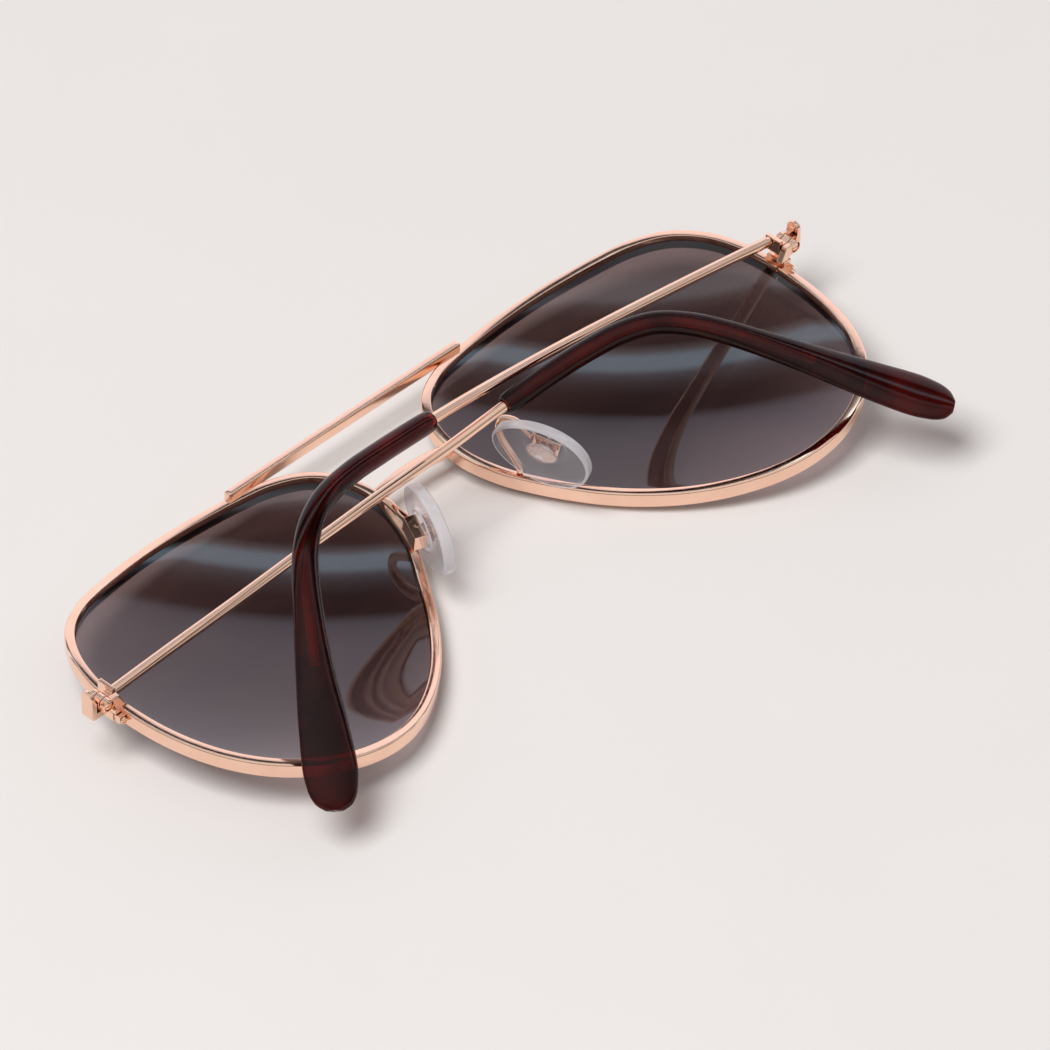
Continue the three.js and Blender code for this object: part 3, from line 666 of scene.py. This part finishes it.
def wire_mesh(spine):
    stations = np.concatenate([[WIRE_START],
                               np.linspace(WIRE_START + 0.05, CORE_END - 0.4, 240),
                               [CORE_END - 0.15, CORE_END]])
    radii = np.concatenate([[WIRE_R - 0.05], np.full(240, WIRE_R),
                            [WIRE_R - 0.1, WIRE_R - 0.35]])
    return skin(swept(spine, stations, radii, radii, 28))


def tip_mesh(spine, start):
    """Plastic tip from the closed end of its bore, over the mouth and down the outside;
    also returns the material index of each face."""
    sides = 40
    bore_stations = np.concatenate([[CORE_END + 0.6], np.linspace(CORE_END, start + 0.3, 80),
                                    [start + 0.08, start]])
    bore_radii = np.concatenate([[0.75], np.full(80, TIP_BORE),
                                 [TIP_BORE + 0.03, TIP_BORE + 0.12]])
    stations = np.concatenate([
        start + np.array([0.0, 0.06, 0.16, 0.32, 0.6, 1.2, 2.5, 4.0]),
        np.linspace(82, 140, 90), np.linspace(140.5, 145.4, 22), [145.75, 146.0, 146.18, 146.3]])
    distance, width, thick = TIP_TABLE.T
    half_width = smooth_table(stations, distance, width)
    half_thick = smooth_table(stations, distance, thick)
    # rounded mouth: radii of the first stations
    half_width[:7] = half_thick[:7] = [1.22, 1.33, 1.41, 1.47, 1.52, 1.57, 1.6]
    rings = np.concatenate([swept(spine, bore_stations, bore_radii, bore_radii, sides),
                            swept(spine, stations, half_width, half_thick, sides)], 0)
    inside = range(len(bore_stations) - 1)
    return skin(rings), second_material(len(rings) - 1, sides, inside)


def barrel(span, centre):
    return drum(KNUCKLE_R, centre, *span)


def hinge_bore(span, centre):
    return drum(BORE_R, centre, span[0] - 1, span[1] + 1, sides=40)


def temple_hinge_mesh(lift):
    """Middle knuckle with its end plate, turned about the hinge axis."""
    low, high = TEMPLE_KNUCKLE
    verts, faces = fuse([cuboid(x=(-2.3, -1.6), y=(low + 0.05, 6.3), z=(-1.05, 1.15)),
                         cuboid(x=(-1.7, -0.2), y=(low, high), z=(-0.6, 0.6)),
                         barrel(TEMPLE_KNUCKLE, (0, 0))],
                        voxel=0.07, soften=3, cuts=[hinge_bore(TEMPLE_KNUCKLE, (0, 0))])
    x, y, z = verts.T
    cos, sin = math.cos(math.radians(lift)), math.sin(math.radians(lift))
    return np.stack([cos * x + sin * z + HINGE_X, y, -sin * x + cos * z + HINGE_Z], -1), faces


def build_temple(side):
    temple = TEMPLES[side]
    spine = Spine(temple["path"], WIRE_START, -np.array(temple["outward"]))
    mirror = side == "left"
    body = f"{side}_temple"
    publish(f"{side}_temple_wire", wire_mesh(spine), body, GOLD, 45, mirror)
    tip, face_materials = tip_mesh(spine, temple["tip"])
    publish(f"{side}_temple_tip", tip, body, TIP, 50, mirror, face_materials)
    publish(f"{side}_hinge_temple", temple_hinge_mesh(temple["lift"]), body, GOLD, 40, mirror)


# ------------------------------------------------------------------ screws
def screw_mesh(head, shank, centre, y_head, y_tip, slot):
    """Slotted domed head below y_head and a threaded shank above it; head and shank are
    radii, slot is a width."""
    profile = [(y_head - 0.48, head * 0.55), (y_head - 0.44, head * 0.78),
               (y_head - 0.36, head * 0.93), (y_head - 0.26, head), (y_head - 0.04, head),
               (y_head, head - 0.04), (y_head, shank)]
    pitch, thread_depth = 0.16, 0.05
    for k in range(int((y_tip - 0.25 - y_head - 0.05) / (pitch / 2))):
        profile.append((y_head + 0.05 + k * pitch / 2, shank - (thread_depth if k % 2 else 0.0)))
    profile += [(y_tip - 0.12, shank - 0.03), (y_tip, shank - 0.14)]
    cos, sin = circle(40)
    x, z = centre
    rings = [np.stack([x + radius * cos, np.full(40, y), z + radius * sin], -1)
             for y, radius in profile]
    groove = cuboid(x=(x - head * 1.3, x + head * 1.3), y=(y_head - 0.9, y_head - 0.27),
                    z=(z - slot / 2, z + slot / 2))
    return carve(work_object([skin(rings)]), [groove])


# ------------------------------------------------------------------ end pieces and hinges
def end_piece_mesh():
    """Strap that turns back at the corner, with its round end and the top knuckle."""
    outer, back = 69.6, 9.15
    strap = prism([(64.8, back), (69.2, back), (69.45, 9.25), (outer, 9.5), (outer, 12.4),
                   (68.9, 12.4), (68.9, 9.9), (64.8, 9.9)], y=(3.45, 5.55))
    return fuse([strap, cuboid(x=(65, 66.4), y=(2.3, 5), z=(back, 9.9)),
                 drum(1.05, (4.5, 12.7), 68.9, outer, axis="x"),
                 cuboid(x=(HINGE_X, 69.0), y=END_KNUCKLE, z=(HINGE_Z - 0.5, HINGE_Z + 0.5)),
                 barrel(END_KNUCKLE, HINGE)],
                voxel=0.075, soften=3, cuts=[hinge_bore(END_KNUCKLE, HINGE)])


def front_hinge_mesh():
    """Bottom knuckle on a sloping arm, recessed below for the screw head."""
    low = FRONT_KNUCKLE[0]
    return fuse([prism([(64.4, 9.85), (66.0, 9.85), (67.0, 12.1), (65.5, 12.1)], FRONT_KNUCKLE),
                 cuboid(x=(66, HINGE_X), y=FRONT_KNUCKLE, z=(HINGE_Z - 0.6, HINGE_Z + 0.6)),
                 barrel(FRONT_KNUCKLE, HINGE)],
                voxel=0.07, soften=3,
                cuts=[hinge_bore(FRONT_KNUCKLE, HINGE),
                      drum(0.82, HINGE, low - 1, low + 0.55, sides=48)])


def block_mesh(y, shrink, hole_top, centre):
    block = cuboid(x=(BLOCK_X, BLOCK_OUT - shrink), y=y,
                   z=(BLOCK_FRONT + shrink, BLOCK_REAR - shrink))
    return fuse([block], voxel=0.06, soften=4,
                cuts=[drum(BLOCK_HOLE_R, centre, 0, hole_top, sides=32)])


def build_corners():
    centre = (BLOCK_OUT - 0.62, (BLOCK_FRONT + BLOCK_REAR) / 2)
    pieces = [
        ("end_piece", end_piece_mesh(), GOLD),
        ("hinge_front", front_hinge_mesh(), GOLD),
        ("rim_block_upper", block_mesh((SLIT_Y + 0.2, 4.8), 0, 4.3, centre), GOLD),
        ("rim_block_lower", block_mesh((1.6, SLIT_Y - 0.2), 0.1, 3, centre), GOLD),
        ("rim_screw", screw_mesh(head=0.5, shank=0.4, centre=centre, y_head=1.55, y_tip=4.2,
                                 slot=0.2), SCREW),
        ("hinge_screw", screw_mesh(head=0.74, shank=PIN_R, centre=HINGE,
                                   y_head=FRONT_KNUCKLE[0] + 0.5, y_tip=END_KNUCKLE[1] - 0.1,
                                   slot=0.22), SCREW)]
    for side in SIDES:
        for name, mesh, finish in pieces:
            publish(f"{side}_{name}", mesh, "front", finish, 42, side == "left")


# ------------------------------------------------------------------ nose pads
# pad axes: x runs down its length, y forward across it, z outward from the nose
PAD_DOWN = unit([0.3672, -0.9043, -0.2176])
PAD_BACK = unit(np.array([0, 0, 1.0]) - PAD_DOWN[2] * PAD_DOWN)
PAD_OUT = unit(np.cross(PAD_BACK, PAD_DOWN))
PAD_FORWARD = np.cross(PAD_OUT, PAD_DOWN)


def in_place(mesh):
    """Mesh moved from the pad's own axes to the frame."""
    verts, faces = mesh
    return (PAD_CENTRE + verts[:, :1] * PAD_DOWN + verts[:, 1:2] * PAD_FORWARD
            + verts[:, 2:] * PAD_OUT), faces


def oval(long, wide, taper, z):
    cos, sin = circle(PAD_SIDES)
    return np.stack([(long / 2) * cos, (wide / 2) * sin * (1 + taper * cos),
                     np.full(PAD_SIDES, z)], -1)


def pad_mesh():
    """Soft pad with a raised socket on its outer side, and its face materials."""
    half = PAD_THICK / 2
    corner, taper = 0.38, 0.1
    # nose face, slightly pillowed
    rings = [oval(PAD_LONG * share * 0.93, PAD_WIDE * share * 0.9, taper,
                  -half + 0.16 * share ** 3) for share in (0.08, 0.3, 0.55, 0.75, 0.9)]
    wall_start = len(rings)
    # upright wall with rounded corners
    for sign, steps in ((-1, range(7)), (1, range(6, 13))):
        for step in steps:
            angle = -math.pi / 2 + math.pi / 2 * step / 6
            grow = 2 * corner * math.cos(angle)
            rings.append(oval(PAD_LONG - 2 * corner + grow, PAD_WIDE - 2 * corner + grow, taper,
                              sign * (half - 0.04 - corner) + corner * math.sin(angle)))
    socket_start = len(rings)
    # outer face, socket rim, then the socket's inside: length, width, z, taper
    for long, wide, z, narrowing in (
            (12.2, 6.9, half - 0.02, 0.08), (9.2, 6.1, half - 0.06, 0.05),
            (7.25, 5.45, half - 0.04, 0.02), (7.02, 5.22, half + 0.02, 0),
            (6.94, 5.14, half + 0.24, 0), (6.84, 5.04, half + 0.34, 0),
            (6.62, 4.82, half + 0.38, 0), (6.32, 4.52, half + 0.36, 0),
            (6.12, 4.32, half + 0.26, 0), (6.06, 4.26, half + 0.04, 0),
            (5.9, 4.1, half - 0.04, 0), (4.74, 2.94, half - 0.06, 0),
            (4.64, 2.84, half - 0.14, 0), (4.64, 2.84, -0.36, 0),
            (4.5, 2.7, -0.42, 0), (2.2, 1.3, -0.42, 0)):
        rings.append(oval(long, wide, narrowing, z))
    # edge material, milky plastic with a painted highlight: the wall and the top of the socket
    # rim
    edges = [*range(wall_start, socket_start - 1), *range(socket_start + 4, socket_start + 8)]
    return skin(rings), second_material(len(rings) - 1, PAD_SIDES, edges)


def pivot_hole():
    return drum(PIVOT_HOLE_R, (0, PAD_PIVOT), -3, 3, sides=32)


def pad_core_mesh():
    """Oval plate inside the pad, with an upright lug."""
    plate = skin([oval(4.1, 2.3, 0, -0.3), oval(4.4, 2.6, 0, -0.18),
                  oval(4.4, 2.6, 0, 0.18), oval(4.1, 2.3, 0, 0.3)])
    return fuse([plate, cuboid(x=(-0.8, 0.8), y=(-0.55, 0.55), z=(0, PAD_PIVOT + 0.6))],
                voxel=0.06, soften=3, cuts=[pivot_hole()])


def pad_box_mesh():
    """Four walls around the lug, closed on the outer side."""
    long, wide = (-2, 2), (-1.35, 1.35)
    deep = (PAD_PIVOT - 0.7, PAD_PIVOT + 1.1)
    return fuse([cuboid(long, (-1.35, -0.9), deep), cuboid(long, (0.9, 1.35), deep),
                 cuboid((-2, -1.5), wide, deep), cuboid((1.5, 2), wide, deep),
                 cuboid(long, wide, (PAD_PIVOT + 0.78, deep[1]))],
                voxel=0.06, soften=3, cuts=[pivot_hole()])


def pad_screw_mesh():
    """Screw through box and lug, flipped in y so that its head is on the forward side."""
    verts, faces = screw_mesh(head=0.62, shank=0.36, centre=(0, PAD_PIVOT),
                              y_head=-1.4 + 0.13, y_tip=1.5, slot=0.2)
    return verts * [1, -1, 1], [tuple(reversed(face)) for face in faces]


def pad_arm_mesh():
    spine = Spine([[x, y, z + FRAME_Z] for x, y, z in ARM_PATH], 0, [1, 0.1, 0])
    length = spine.distances[-1]
    stations = np.concatenate([[0, 0.05], np.linspace(0.15, length - 0.15, 110),
                               [length - 0.05, length]])
    radii = np.concatenate([[ARM_R - 0.12, ARM_R - 0.03], np.full(110, ARM_R),
                            [ARM_R - 0.03, ARM_R - 0.12]])
    return skin(swept(spine, stations, radii, radii, 24))


def build_pads():
    pad, face_materials = pad_mesh()
    pad, core, box, screw = (in_place(mesh) for mesh in (pad, pad_core_mesh(), pad_box_mesh(),
                                                         pad_screw_mesh()))
    arm = pad_arm_mesh()
    for side in SIDES:
        mirror = side == "left"
        publish(f"{side}_nose_pad", pad, f"{side}_pad", PAD, 50, mirror, face_materials)
        publish(f"{side}_pad_core", core, f"{side}_pad", INSERT, 42, mirror)
        publish(f"{side}_pad_box", box, "front", GOLD, 42, mirror)
        publish(f"{side}_pad_screw", screw, "front", SCREW, 42, mirror)
        publish(f"{side}_pad_arm", arm, "front", GOLD, 45, mirror)


# ------------------------------------------------------------------ floor, room and camera
def build_floor(half=6.0):
    data = bpy.data.meshes.new("floor")
    data.from_pydata([(-half, -half, 0), (half, -half, 0), (half, half, 0), (-half, half, 0)],
                     [], [(0, 1, 2, 3)])
    floor = bpy.data.objects.new("floor", data)
    bpy.context.scene.collection.objects.link(floor)
    data.materials.append(pale_floor())


# soft boxes and gaps seen in reflections: how far away from the viewer a direction
# points, and its colour
BANDS = [
    (0.00, (0.62, 0.58, 0.58)), (0.24, (0.56, 0.51, 0.53)), (0.275, (0.95, 0.90, 0.92)),
    (0.325, (0.95, 0.95, 1.0)), (0.35, (0.30, 0.28, 0.28)), (0.385, (0.05, 0.045, 0.045)),
    (0.472, (0.04, 0.035, 0.035)), (0.495, (0.75, 0.72, 0.74)), (0.515, (1.5, 1.95, 2.25)),
    (0.552, (1.4, 1.85, 2.1)), (0.573, (0.40, 0.46, 0.52)), (0.605, (0.20, 0.20, 0.22)),
    (0.64, (0.05, 0.045, 0.05)), (0.695, (0.06, 0.055, 0.06)), (0.725, (0.80, 0.78, 0.88)),
    (0.79, (1.06, 0.99, 1.07)), (1.0, (1.12, 1.04, 1.08))]
BAND_SCALE = 2         # the ramp holds colours divided by this
AMBIENT = (0.332, 0.332, 0.332)


def build_room():
    """Banded room for reflections, even grey for all other light."""
    world = bpy.data.worlds.new("studio")
    bpy.context.scene.world = world
    graph = Graph(world, "ShaderNodeOutputWorld")
    ray = graph.add("SeparateXYZ", {0: graph.add("TexCoord").outputs["Generated"]}).outputs
    diagonal = 0.7071
    away = graph.math("MULTIPLY", graph.math("ADD", ray["X"], ray["Y"]), diagonal)
    ramp = graph.add("ValToRGB", {0: away})
    elements = ramp.color_ramp.elements
    while len(elements) < len(BANDS):
        elements.new(0.5)
    for element, (position, colour) in zip(elements, BANDS):
        element.position = position
        element.color = (*[c / BAND_SCALE for c in colour], 1)
    # on the viewer's side the room is dark at the horizon and lighter overhead
    height = graph.remap(ray["Z"], low=0.13, high=0.88, from_low=0.0, from_high=1.0)
    near = graph.first("CombineColor", {0: height, 1: height, 2: height})
    far_share = graph.remap(away, low=0.0, high=1.0, from_low=0.04, from_high=0.18)
    far = graph.first("VectorMath", {0: ramp.outputs[0], "Scale": BAND_SCALE},
                      operation="SCALE")
    reflected = graph.colour(far_share, near, far)
    is_glossy = graph.add("LightPath").outputs["Is Glossy Ray"]
    graph.finish(graph.first("Background", {
        "Color": graph.colour(is_glossy, AMBIENT, reflected), "Strength": 1.0}))


def build_key():
    """Square soft box aimed at the origin, left out of reflections."""
    light = bpy.data.lights.new("key", "AREA")
    light.shape, light.size, light.size_y = "RECTANGLE", 1.5, 1.5
    light.energy = 77.5
    key = bpy.data.objects.new("key", light)
    bpy.context.scene.collection.objects.link(key)
    key.location = (-1.43, -0.13, 2.6)
    key.rotation_euler = (-Vector((-1.43, -0.13, 2.6))).to_track_quat("-Z", "Y").to_euler()
    key.visible_glossy = False


def build_camera():
    azimuth, elevation, roll = -0.804032, 0.7216, 0.005802    # radians
    position = (-0.65839, -0.63849, 0.81288)
    back = np.array([math.sin(azimuth) * math.cos(elevation),
                     -math.cos(azimuth) * math.cos(elevation), math.sin(elevation)])
    level = np.array([math.cos(azimuth), math.sin(azimuth), 0.0])
    upright = np.cross(back, level)
    right = math.cos(roll) * level + math.sin(roll) * upright
    up = -math.sin(roll) * level + math.cos(roll) * upright
    lens = bpy.data.cameras.new("camera")
    lens.lens, lens.sensor_width = 304.42, 36.0
    lens.clip_start, lens.clip_end = 0.05, 20.0
    camera = bpy.data.objects.new("camera", lens)
    bpy.context.scene.collection.objects.link(camera)
    camera.matrix_world = Matrix([*zip(right, up, back, position), (0, 0, 0, 1)])
    bpy.context.scene.camera = camera


def set_render():
    scene = bpy.context.scene
    scene.view_settings.view_transform = "Standard"
    scene.view_settings.look = "None"
    scene.view_settings.exposure = 0.0
    scene.cycles.use_denoising = True
    scene.cycles.max_bounces = 12
    scene.cycles.transparent_max_bounces = 24
    scene.cycles.sample_clamp_indirect = 4.0
    scene.cycles.blur_glossy = 0.3


build_rims()
publish("brow_bar", bar_mesh(), "front", GOLD, 40)
publish("bridge", bridge_mesh(), "front", GOLD, 40)
for temple_side in SIDES:
    build_temple(temple_side)
build_corners()
build_pads()
build_floor()
build_room()
build_key()
build_camera()
set_render()
